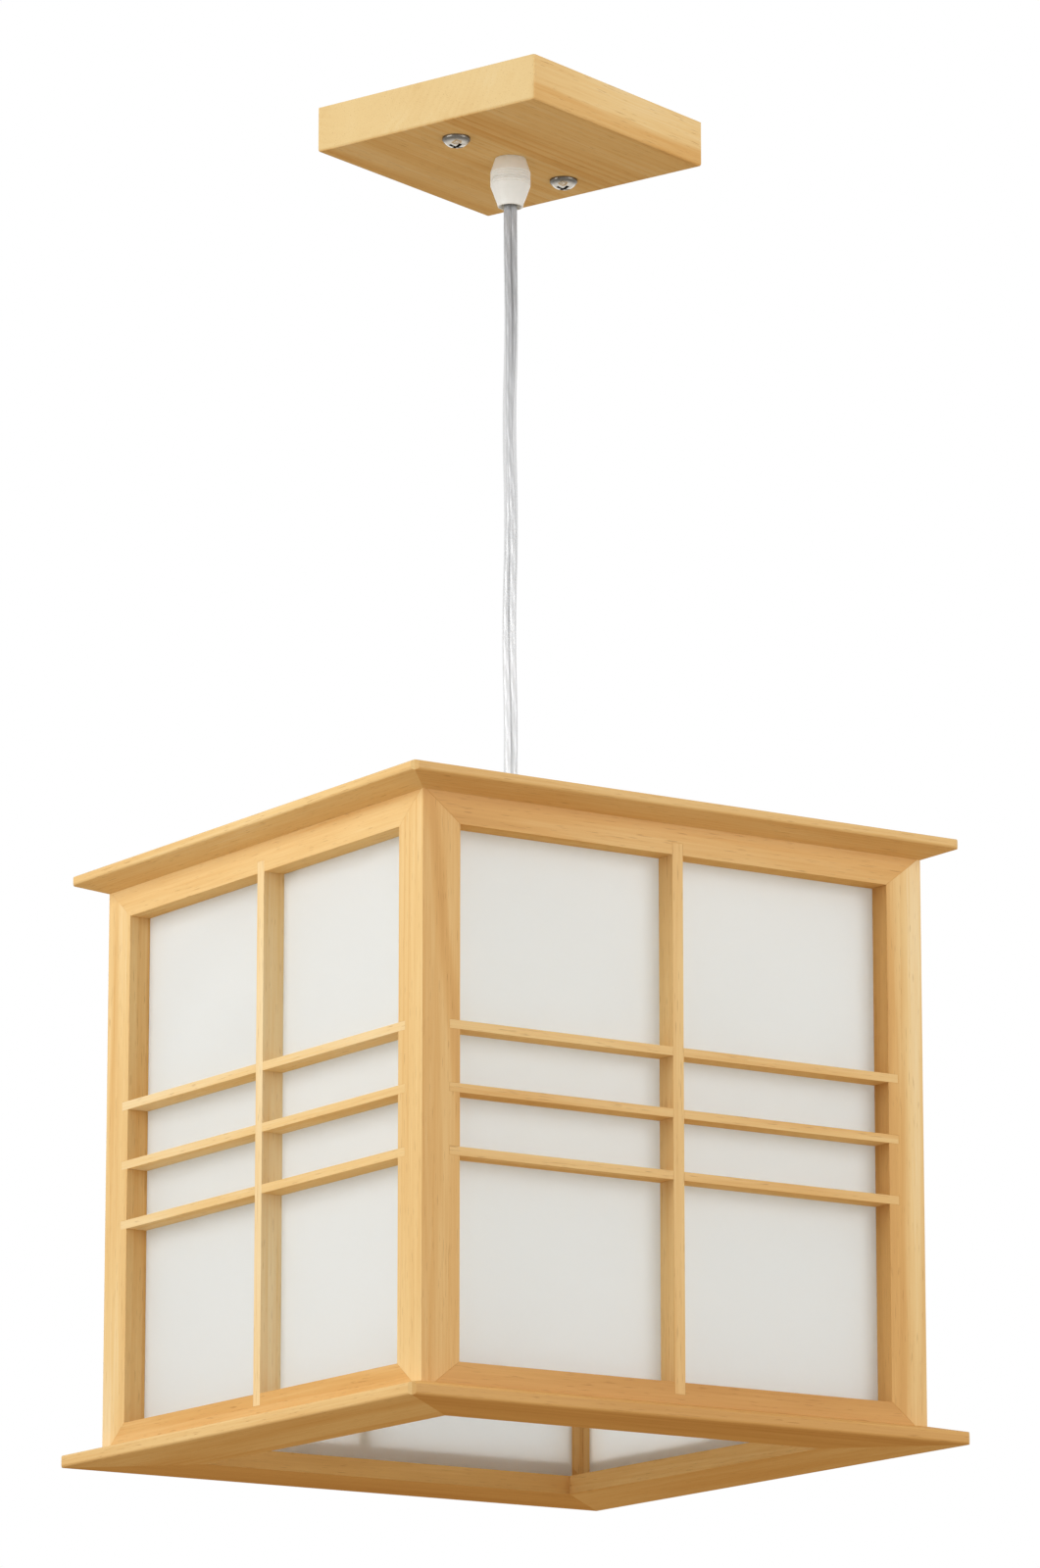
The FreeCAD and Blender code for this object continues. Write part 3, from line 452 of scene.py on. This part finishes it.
def screw(place, seat, tip, radius, height, shank, dome):
    """Grid of a cross-head screw that points up, as rows about its axis.

    The face is height * (1 - dome * (r / radius) ** 3) under the seat, less the cross.
    The shank's radius is a saw-tooth of (height / pitch - turn)."""
    turn = np.linspace(0, 2 * np.pi, SCREW_SIDES, endpoint=False)
    face = np.linspace(0, radius, SCREW_FACE_ROWS)[:, None]
    x = face * np.cos(turn)
    y = face * np.sin(turn)
    z = seat - height * (1 - dome * (face / radius) ** 3) + cross_cut(x, y)
    head = np.stack([x, y, z], axis=-1)
    rows = int((tip - seat) / THREAD_PITCH * THREAD_ROWS)
    level = np.linspace(seat, tip - THREAD_PITCH, rows)[:, None]
    phase = (level - seat) / THREAD_PITCH - turn / (2 * np.pi)
    around = shank - THREAD_DEPTH * np.abs(2 * (phase % 1) - 1)
    thread = np.stack([around * np.cos(turn), around * np.sin(turn), level + 0 * around], axis=-1)
    rim = np.stack([radius * np.cos(turn), radius * np.sin(turn), seat + 0 * turn], axis=-1)[None]
    end = np.stack([0 * turn, 0 * turn, tip + 0 * turn], axis=-1)[None]
    return np.concatenate([head, rim, thread, end]) + np.array([*place, 0])


def screw_finish(place):
    """Bright plated steel for screws at place and opposite it, with painted shade in the cross recess and
    painted shade and reflection at the rim.
    """
    material, shade = new_finish("bright_steel")
    at = shade.node("TexCoord", out="Object")
    toward = shade.node("VectorMath", {0: at, 1: (*place, 0)}, out="Value", operation="DOT_PRODUCT")
    hand = shade.math("SIGN", toward)
    x, y = (shade.math("ABSOLUTE", shade.node("SeparateXYZ", {0: at}, out=axis) * hand - middle)
            for axis, middle in zip("XY", place))
    beside = shade.math("MINIMUM", x, y).between(CROSS_RIB, CROSS_RIB + 2 * CROSS_EDGE)
    beyond = shade.math("MAXIMUM", x, y).between(CROSS_ARM, CROSS_ARM + 2 * CROSS_EDGE)
    rim = ((x * x + y * y) ** 0.5).between(*PAN_RIM)
    patch = at.noise((900, 900, 900), detail=3.0)
    # Painted shade: the cross recess is coloured near black and the rim darker, as painted shade and
    # reflection, over a faint random mottle.
    shade_and_mottle = shade.math("MAXIMUM", (1 - beside) * (1 - beyond), rim * RIM_SHADE) + patch * 0.15
    metal = shade.node("BsdfPrincipled", {
        "Base Color": shade_and_mottle.mix(display(*SCREW_BRIGHT), display(*RECESS_SHADE)), "Metallic": 1.0,
        "Roughness": shade_and_mottle * 0.2 + 0.14})
    shade.node("OutputMaterial", {"Surface": metal})
    return material


zinc = metal_finish("zinc_steel", colour=(196, 199, 204), roughness=0.32, mottle=0.8, grain=160)
dress("ceiling_bracket", zinc, PRESSED_EDGE)

screw_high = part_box("plate_screws")[1]
screw_place = np.array([screw_high.x - PAN_RADIUS, screw_high.y - PAN_RADIUS])
bright_steel = screw_finish(screw_place)
plate_screws = skin("bright_plate_screws", *(
    screw(side * screw_place, plate_low.z, screw_high.z, PAN_RADIUS, PAN_HEIGHT, PAN_SHANK, PAN_DOME)
    for side in (1, -1)))
fit(plate_screws, bright_steel, "bright_screw", "ceiling_mount", "plate_screws")

# Cord grip
# A milky plastic gland: a threaded body through the plate and a cap screwed on under it,
# with a band of fine ridges round their seam and a soft nose where the cord comes out.
GRIP_TOP = 0.00675
GRIP_NOSE = 0.0058
GRIP_NOSE_RISE = 0.0014
GRIP_STEM = 0.005
GRIP_COLLET = 0.0055
GRIP_SOCKET = 0.00555
GRIP_BORE = 0.00305
GRIP_THROAT = 0.003764
GRIP_MOUTH = 0.00485
GRIP_LIP = 0.0006
GRIP_FLARE = math.radians(28.5)
GRIP_BODY_ROUND = 0.00025
GRIP_CAP_ROUND = 0.0004
RIDGE_PITCH = 0.0012
RIDGE_DEPTH = 0.0003
BODY_RIDGES = 3
CAP_RIDGES = 2
MILKY_PALE = (250, 254, 254)
MILKY_DEEP = (238, 245, 244)
LATHE_SIDES = 96
ROUND_STEPS = 6


def rounded(corners, radius):
    """An outline whose inner corners c are curves (1-t)^2 a + 2t(1-t) c + t^2 b.

    They start at a and end at b, which lie the radius away along the corner's two sides."""
    corner = np.array(corners, float)
    before = corner[:-2] - corner[1:-1]
    after = corner[2:] - corner[1:-1]
    room = [np.linalg.norm(side, axis=1, keepdims=True) for side in (before, after)]
    cut = np.minimum(radius, 0.45 * np.minimum(*room))
    first = corner[1:-1] + before / room[0] * cut
    last = corner[1:-1] + after / room[1] * cut
    t = np.linspace(0, 1, ROUND_STEPS)[None, :, None]
    bends = (1 - t) ** 2 * first[:, None] + 2 * t * (1 - t) * corner[1:-1, None] + t ** 2 * last[:, None]
    return np.concatenate([corner[:1], bends.reshape(-1, 2), corner[-1:]])


def lathe(outline):
    """Grid of an outline of (radius, height) pairs carried round the lamp's axis."""
    turn = np.linspace(0, 2 * np.pi, LATHE_SIDES, endpoint=False)
    radius, height = outline[:, :1], outline[:, 1:]
    return np.stack([radius * np.cos(turn), radius * np.sin(turn), height + 0 * turn], axis=-1)


def ridges(radius, top, count):
    """Corners of a band of V-shaped grooves, from its top down."""
    middle = top - (np.arange(count) + 0.5) * RIDGE_PITCH
    groove = [(0, RIDGE_DEPTH), (-RIDGE_DEPTH, 0), (0, -RIDGE_DEPTH)]
    band = [(radius + aside, level + rise) for level in middle for aside, rise in groove]
    return [(radius, top), *band, (radius, top - count * RIDGE_PITCH)]


def milky_finish():
    """Milky translucent plastic, a little uneven in depth of colour, with light soaking through it."""
    material, shade = new_finish("milky_plastic")
    at = shade.node("TexCoord", out="Object")
    depth = at.noise((260, 260, 420))
    plastic = shade.node("BsdfPrincipled", {
        "Base Color": depth.mix(display(*MILKY_PALE), display(*MILKY_DEEP)),
        "Roughness": depth * 0.15 + 0.28, "Subsurface Weight": 0.3, "Subsurface Scale": 1.0,
        "Subsurface Radius": (0.003, 0.003, 0.003), "Transmission Weight": 0.06, "IOR": 1.49})
    shade.node("OutputMaterial", {"Surface": plastic})
    return material


body_low, body_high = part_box("grip_body")
cap_low, cap_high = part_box("grip_cap")
seam = cap_high.z
seam_radius = cap_high.x
mouth = cap_low.z
pivot = mouth + (GRIP_MOUTH - GRIP_THROAT) / math.tan(GRIP_FLARE)
milky = milky_finish()
grip_outline = [
    (GRIP_BORE, body_low.z), (GRIP_BORE, body_high.z), (GRIP_STEM, body_high.z), (GRIP_STEM, plate_low.z),
    (GRIP_TOP, plate_low.z), *ridges(seam_radius, seam + BODY_RIDGES * RIDGE_PITCH, BODY_RIDGES),
    (GRIP_COLLET, seam), (GRIP_COLLET, body_low.z), (GRIP_BORE, body_low.z)]
grip_body = skin("cord_grip_body", lathe(rounded(grip_outline, GRIP_BODY_ROUND)))
fit(grip_body, milky, "milky_plastic", "ceiling_mount", "grip_body")

cap_outline = [
    (GRIP_THROAT, body_low.z), (GRIP_SOCKET, body_low.z), (GRIP_SOCKET, seam),
    *ridges(seam_radius, seam, CAP_RIDGES), (GRIP_NOSE, mouth + GRIP_NOSE_RISE),
    (GRIP_MOUTH + GRIP_LIP, mouth), (GRIP_MOUTH, mouth), (GRIP_THROAT, pivot), (GRIP_THROAT, body_low.z)]
grip_cap = skin("cord_grip_cap", lathe(rounded(cap_outline, GRIP_CAP_ROUND)))
fit(grip_cap, milky, "milky_plastic", "ceiling_mount", "grip_cap")
dress("grip_locknut", milky)

# Cord
# One clear plastic flex, pulled straight by the lantern's weight, round and 6 mm thick.
# Two bundles of tinned wire twist slowly round each other inside it.
CORD_DIAMETER = 0.006
BUNDLE_RADIUS = 0.0014
BUNDLE_OFFSET = 0.00145
BUNDLE_PITCH = 0.42
BUNDLE_START = -0.6
STRANDS = 9
STRAND_DEPTH = 0.00014
STRAND_PITCH = 0.016
BUNDLE_ROWS = 420
BUNDLE_SIDES = 42
CLEAR_PALE = (208, 211, 215)
CLEAR_DULL = (188, 191, 196)
WIRE_BRIGHT = (242, 243, 244)
WIRE_DULL = (156, 158, 161)
WIRE_BRIGHT_LEVEL = -0.27
WIRE_DULL_LEVEL = -0.03
CORD_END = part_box("supply_cord")[0].z
CORD_ROUTE = [
    (0, 0, pivot), (0, 0, -0.060), (0.0005, -0.0003, -0.098), (-0.0006, 0.0003, -0.140),
    (0.0005, -0.0004, -0.186), (-0.0007, 0.0003, -0.232), (0.0004, -0.0002, -0.276), (0, 0, -0.308),
    (0, 0, -0.332), (0, 0, CORD_END)]


def cord_curve(name, route, thickness):
    """A smooth curve with the route's points as its control points, and a round section."""
    curve = bpy.data.curves.new(name, "CURVE")
    curve.dimensions = "3D"
    curve.resolution_u = 16
    curve.bevel_depth = thickness / 2
    curve.bevel_resolution = 8
    curve.use_fill_caps = thickness > 0
    spline = curve.splines.new("NURBS")
    spline.points.add(len(route) - 1)
    spline.points.foreach_set("co", np.insert(np.array(route, float), 3, 1, axis=1).ravel())
    spline.order_u = 3
    spline.use_endpoint_u = True
    piece = bpy.data.objects.new(name, curve)
    collection.objects.link(piece)
    return piece


def cord_line(route):
    """Points along the route's smooth curve."""
    thread = cord_curve("cord_line", route, 0)
    line = bpy.data.meshes.new_from_object(thread)
    points = np.empty(len(line.vertices) * 3)
    line.vertices.foreach_get("co", points)
    bpy.data.objects.remove(thread)
    return points.reshape(-1, 3)


def bundle(line, start):
    """Grid of a wire bundle along a nearly upright line.

    Its middle circles the line once in each bundle pitch, and its radius dips between its strands,
    which twist the other way."""
    length = np.concatenate([[0], np.cumsum(np.linalg.norm(np.diff(line, axis=0), axis=1))])
    step = np.linspace(0, length[-1], BUNDLE_ROWS)
    centre = np.stack([np.interp(step, length, line[:, axis]) for axis in range(3)], axis=-1)
    lead = start + 2 * np.pi * step / BUNDLE_PITCH
    centre[:, 0] += BUNDLE_OFFSET * np.cos(lead)
    centre[:, 1] += BUNDLE_OFFSET * np.sin(lead)
    turn = np.linspace(0, 2 * np.pi, BUNDLE_SIDES, endpoint=False)
    lay = STRANDS * turn - 2 * np.pi * step[:, None] / STRAND_PITCH
    radius = BUNDLE_RADIUS - STRAND_DEPTH * (1 - np.abs(np.cos(lay / 2)))
    ring = np.stack([radius * np.cos(turn), radius * np.sin(turn), 0 * radius], axis=-1)
    tube = centre[:, None] + ring
    ends = [np.broadcast_to(centre[i], (1, BUNDLE_SIDES, 3)) for i in (0, -1)]
    return np.concatenate([ends[0], tube, ends[1]])


def wire_finish():
    """Tinned copper strands, darker towards the grip and bright by the lantern."""
    material, shade = new_finish("tinned_wire")
    at = shade.node("TexCoord", out="Object")
    height = shade.node("SeparateXYZ", {0: at}, out="Z")
    patch = at.noise((700, 700, 180), detail=3.0)
    dulled = height.between(WIRE_BRIGHT_LEVEL, WIRE_DULL_LEVEL) + patch * 0.3 - 0.15
    wire = shade.node("BsdfPrincipled", {
        "Base Color": dulled.mix(display(*WIRE_BRIGHT), display(*WIRE_DULL)), "Metallic": 0.4,
        "Roughness": patch * 0.2 + 0.34})
    shade.node("OutputMaterial", {"Surface": wire})
    return material


def clear_finish():
    """Clear flexible plastic: a thin glossy haze over what it holds, duller in places from handling."""
    material, shade = new_finish("clear_plastic")
    at = shade.node("TexCoord", out="Object")
    haze = at.noise((300, 300, 40))
    plastic = shade.node("BsdfPrincipled", {
        "Base Color": haze.mix(display(*CLEAR_PALE), display(*CLEAR_DULL)),
        "Roughness": haze * 0.2 + 0.12, "IOR": 1.46, "Alpha": 0.3})
    shade.node("OutputMaterial", {"Surface": plastic})
    return material


clear = clear_finish()
tinned = wire_finish()
sheath = cord_curve("cord_sheath", CORD_ROUTE, CORD_DIAMETER)
fit(sheath, clear, "clear_cord", "hanging_cord", "supply_cord", "cord_neck")
route_line = cord_line(CORD_ROUTE)
wires = skin("cord_wires", bundle(route_line, BUNDLE_START), bundle(route_line, BUNDLE_START + np.pi))
fit(wires, tinned, "core_wire", "hanging_cord")

# Wiring in the plate's back
# The flex's stripped tail stands in the grip.
# Its two wires bend over to a small terminal block of white moulded plastic.
TAIL_ROUND = 0.0003
WIRE_DIAMETER = 0.0018
WIRE_ASIDE = 0.0013
WIRE_LEVEL = -0.00875
WIRE_DIP = 0.0008
WIRE_BEND = 0.004
BLOCK_ASIDE = 0.004
BLOCK_ENTRY = 0.017
BLOCK_REACH = 0.023
MOULDED_EDGE = 0.0004
DEEP_PLASTIC = 0.9


def moulded_finish(name, colour, roughness, soak):
    """Moulded plastic or glazed ceramic: a plain colour, faintly mottled, with some light soaking in."""
    material, shade = new_finish(name)
    at = shade.node("TexCoord", out="Object")
    mottle = at.noise((420, 420, 420), detail=3.0)
    bump = shade.node("Bump", {"Height": mottle, "Strength": 0.08, "Distance": 0.0002})
    plastic = shade.node("BsdfPrincipled", {
        "Base Color": mottle.mix(display(*colour), deepened(colour, DEEP_PLASTIC)),
        "Roughness": mottle * 0.12 + roughness, "Subsurface Weight": soak, "Subsurface Scale": 0.5,
        "Subsurface Radius": (0.002, 0.002, 0.002), "Normal": bump})
    shade.node("OutputMaterial", {"Surface": plastic})
    return material


tail_low, tail_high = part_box("cord_tail")
tail_outline = [(0, tail_low.z), (tail_high.x, tail_low.z), (tail_high.x, tail_high.z), (0, tail_high.z)]
tail = skin("cord_tail_sheath", lathe(rounded(tail_outline, TAIL_ROUND)))
fit(tail, clear, "clear_cord", "ceiling_mount", "cord_tail")

plate_cos, plate_sin = math.cos(PLATE_TURN), math.sin(PLATE_TURN)
swing = np.array([[plate_cos, -plate_sin], [plate_sin, plate_cos]])
for side, hand in ((1, "right"), (-1, "left")):
    plan = np.array([(side * WIRE_ASIDE, 0), (side * WIRE_ASIDE, 0), (side * WIRE_ASIDE, WIRE_BEND),
                     (side * BLOCK_ASIDE, BLOCK_ENTRY), (side * BLOCK_ASIDE, BLOCK_REACH)]) @ swing.T
    levels = [tail_high.z, WIRE_LEVEL - WIRE_DIP, WIRE_LEVEL, WIRE_LEVEL, WIRE_LEVEL]
    wire = cord_curve(f"{hand}_tail_wire", np.column_stack([plan, levels]), WIRE_DIAMETER)
    fit(wire, tinned, "core_wire", "ceiling_mount", "cord_cores")
block_white = moulded_finish("block_plastic", colour=(236, 236, 230), roughness=0.4, soak=0.2)
dress("terminal_block", block_white, MOULDED_EDGE)

# Lantern sides
# Four mitred frames of pale wood. An upright bar and three cross bars, halved over each other, are let
# into each face, and a white opal sheet is fixed behind.
SIDE_GRAIN = {"front": GRAIN_ALONG_X, "right": GRAIN_ALONG_Y,
              "back": GRAIN_ALONG_X, "left": GRAIN_ALONG_Y}
# How much darker each member, each side and some single boards are than the plain wood, partly painted
# light
UPRIGHT_MEMBERS = {"left_stile": -0.05, "right_stile": -0.05, "upright_bar": -0.14}
LEVEL_MEMBERS = {"top_rail": 0.0, "bottom_rail": 0.17, "cross_bars": -0.12}
# Painted light, partly: the left side, which the lamp lights, is painted paler as a painted sheen, and
# the front is painted darker.
SIDE_LIGHT_AND_TONE = {"front": 0.07, "right": 0.0, "back": 0.02, "left": -0.08}
# Painted light, partly: the two stiles furthest from the near corner are painted paler, as painted light
# that is stronger there.
BOARD_LIGHT_AND_TONE = {"front_bottom_rail": 0.03, "left_bottom_rail": -0.1, "front_right_stile": -0.17,
              "left_left_stile": -0.2}
# The front left stile's band is a streak in its grain; the two far stiles' bands darken them along their
# inner edges.
STILE_DARK_BANDS = {
    "front_left_stile": {"at": (-0.005, -0.009), "half": (0.006, 0.003), "slope": (0, 0.12),
                         "edge": (0.6, 2.0), "tone": 0.17},
    "front_right_stile": {"at": (0, 0.009), "half": (0.012, 0.005), "slope": (0, 0.025),
                          "edge": (0.5, 3.0), "tone": 0.34},
    "left_left_stile": {"at": (-0.009, 0), "half": (0.005, 0.012), "slope": (-0.025, 0),
                        "edge": (0.5, 3.0), "tone": 0.3}}
SHEET_WHITE = (251, 252, 252)
SHEET_CLOUD = (245, 247, 247)
SHEET_THROUGH = (248, 250, 250)
SHEET_SOAK = 0.66
SHEET_GAP = 0.00012


def sheet_finish():
    """Opal sheet: a third of what it shows is its own matt white, the rest is light soaking through."""
    material, shade = new_finish("opal_sheet")
    at = shade.node("TexCoord", out="Object")
    cloud = at.noise((22, 22, 22), detail=3.0)
    fleck = at.noise((900, 900, 900))
    colour = (cloud * 0.7 + fleck * 0.3).mix(display(*SHEET_WHITE), display(*SHEET_CLOUD))
    bump = shade.node("Bump", {"Height": fleck, "Strength": 0.1, "Distance": 0.0001})
    face = shade.node("BsdfPrincipled", {
        "Base Color": colour, "Roughness": fleck * 0.15 + 0.45, "Normal": bump})
    through = shade.node("BsdfTranslucent", {"Color": display(*SHEET_THROUGH)})
    opal = shade.node("MixShader", {0: SHEET_SOAK, 1: face, 2: through})
    shade.node("OutputMaterial", {"Surface": opal})
    return material


def dress_sheet(name, material):
    """Gives a panel its finish, and shrinks it by a hair so that light gets between it and the wood."""
    dress(name, material)
    weld(name)
    shrink = nodes[name].modifiers.new("hair_gap", "DISPLACE")
    shrink.mid_level = 0.0
    shrink.strength = -SHEET_GAP


opal_sheet = sheet_finish()
for side, grain in SIDE_GRAIN.items():
    for members, turn in ((UPRIGHT_MEMBERS, GRAIN_UPRIGHT), (LEVEL_MEMBERS, grain)):
        for member, darker in members.items():
            name = f"{side}_{member}"
            # The side and board values add painted light to the wood's tone.
            own = BOARD_LIGHT_AND_TONE.get(name, 0.0)
            dress_board(name, turn, darker + SIDE_LIGHT_AND_TONE[side] + own, STILE_DARK_BANDS.get(name))
    dress_sheet(f"{side}_panel", opal_sheet)

# Cornice and bottom ring
# Four mitred boards each, over and under the sides, with bevelled outer edges and eased tips.
CORNICE_TONE = {"front": -0.04, "right": -0.04, "back": -0.04, "left": -0.1}
# Painted shade, partly: the front and back ring boards are painted darker for the shade under and inside
# the ring.
RING_SHADE_AND_TONE = {"front": 0.2, "right": 0.02, "back": 0.19, "left": -0.02}

for side, grain in SIDE_GRAIN.items():
    dress_board(f"{side}_cornice", grain, CORNICE_TONE[side])
    dress_board(f"{side}_ring", grain, RING_SHADE_AND_TONE[side])

# Hanger bar
# A wooden bar under the cornice that carries the lantern, held by four wood screws with sunk flat heads.
WOOD_SCREW_HEAD = 0.0035
WOOD_SCREW_SINK = 0.00175
WOOD_SCREW_SHANK = 0.00175
WOOD_SCREW_DOME = 0.1

dress_board("hanger_bar", GRAIN_ALONG_X)
hanger_low, hanger_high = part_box("hanger_screws")
hanger_seat = hanger_low.z + WOOD_SCREW_SINK
hanger_screws = skin("hanger_wood_screws", *(
    screw((x, y), hanger_seat, hanger_high.z, WOOD_SCREW_HEAD, WOOD_SCREW_SINK, WOOD_SCREW_SHANK,
          WOOD_SCREW_DOME)
    for x in (hanger_low.x + WOOD_SCREW_HEAD, hanger_high.x - WOOD_SCREW_HEAD)
    for y in (hanger_low.y + WOOD_SCREW_HEAD, hanger_high.y - WOOD_SCREW_HEAD)))
fit(hanger_screws, zinc, "zinc_steel", "lantern", "hanger_screws")

# Lampholder
# A white moulded holder hangs on a hollow nipple through the bar, under a small cord grip.
# Its shell holds a ceramic insert with a brass screw shell and centre contact.
holder_white = moulded_finish("holder_plastic", colour=(238, 237, 231), roughness=0.3, soak=0.1)
ceramic = moulded_finish("holder_ceramic", colour=(240, 236, 226), roughness=0.2, soak=0.0)
brass = metal_finish("contact_brass", colour=(214, 178, 104), roughness=0.25, mottle=0.4, grain=500)
dress("nipple", zinc)
dress("lower_cord_grip", milky)
dress("lampholder_cap", holder_white, MOULDED_EDGE)
dress("lampholder_shell", holder_white, MOULDED_EDGE)
dress("lampholder_insert", ceramic)
dress("screw_shell", brass)
dress("centre_contact", brass)

# Bulb
# An opal glass globe cemented into a rolled aluminium screw cap with a soldered end contact.
CAP_PITCH = 0.003629
CAP_GROOVE = 0.0008
CAP_SHOULDER = 0.004
CAP_SKIRT = 0.003
CAP_SOLDER = 0.00002
CAP_ROWS = 120


def screw_cap(low, high, tip):
    """Grid of a rolled screw cap, tip up, with room for a film of solder over it.

    Its barrel's radius is cap - groove * fade * (1 + cos(2 pi height / pitch - turn)) / 2.
    The fade falls to 0 at the plain skirt and under the sloped shoulder."""
    turn = np.linspace(0, 2 * np.pi, LATHE_SIDES, endpoint=False)
    under = high.z - CAP_SHOULDER
    level = np.linspace(under, low.z, CAP_ROWS)[:, None]
    above_skirt = np.clip((level - low.z - CAP_SKIRT) / CAP_PITCH, 0, 1)
    fade = above_skirt * np.clip((under - level) / CAP_PITCH, 0, 1)
    around = high.x - CAP_GROOVE * fade * (0.5 + 0.5 * np.cos(2 * np.pi * level / CAP_PITCH - turn))
    barrel = np.stack([around * np.cos(turn), around * np.sin(turn), level + 0 * turn], axis=-1)
    top = high.z - CAP_SOLDER
    end = lathe(np.array([(0, top), (tip, top)]))
    foot = lathe(np.array([(0, low.z)]))
    return np.concatenate([end, barrel, foot])


bulb_metal = metal_finish("bulb_metal", colour=(206, 207, 210), roughness=0.28, mottle=0.4, grain=600)
opal_glass = moulded_finish("opal_glass", colour=(244, 243, 239), roughness=0.1, soak=0.4)
dress("bulb_contact", brass)
tip_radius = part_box("bulb_contact")[1].x
bulb_cap = skin("threaded_bulb_cap", screw_cap(*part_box("bulb_cap"), tip_radius))
fit(bulb_cap, bulb_metal, "bulb_metal", "bulb", "bulb_cap")
dress("bulb_globe", opal_glass)
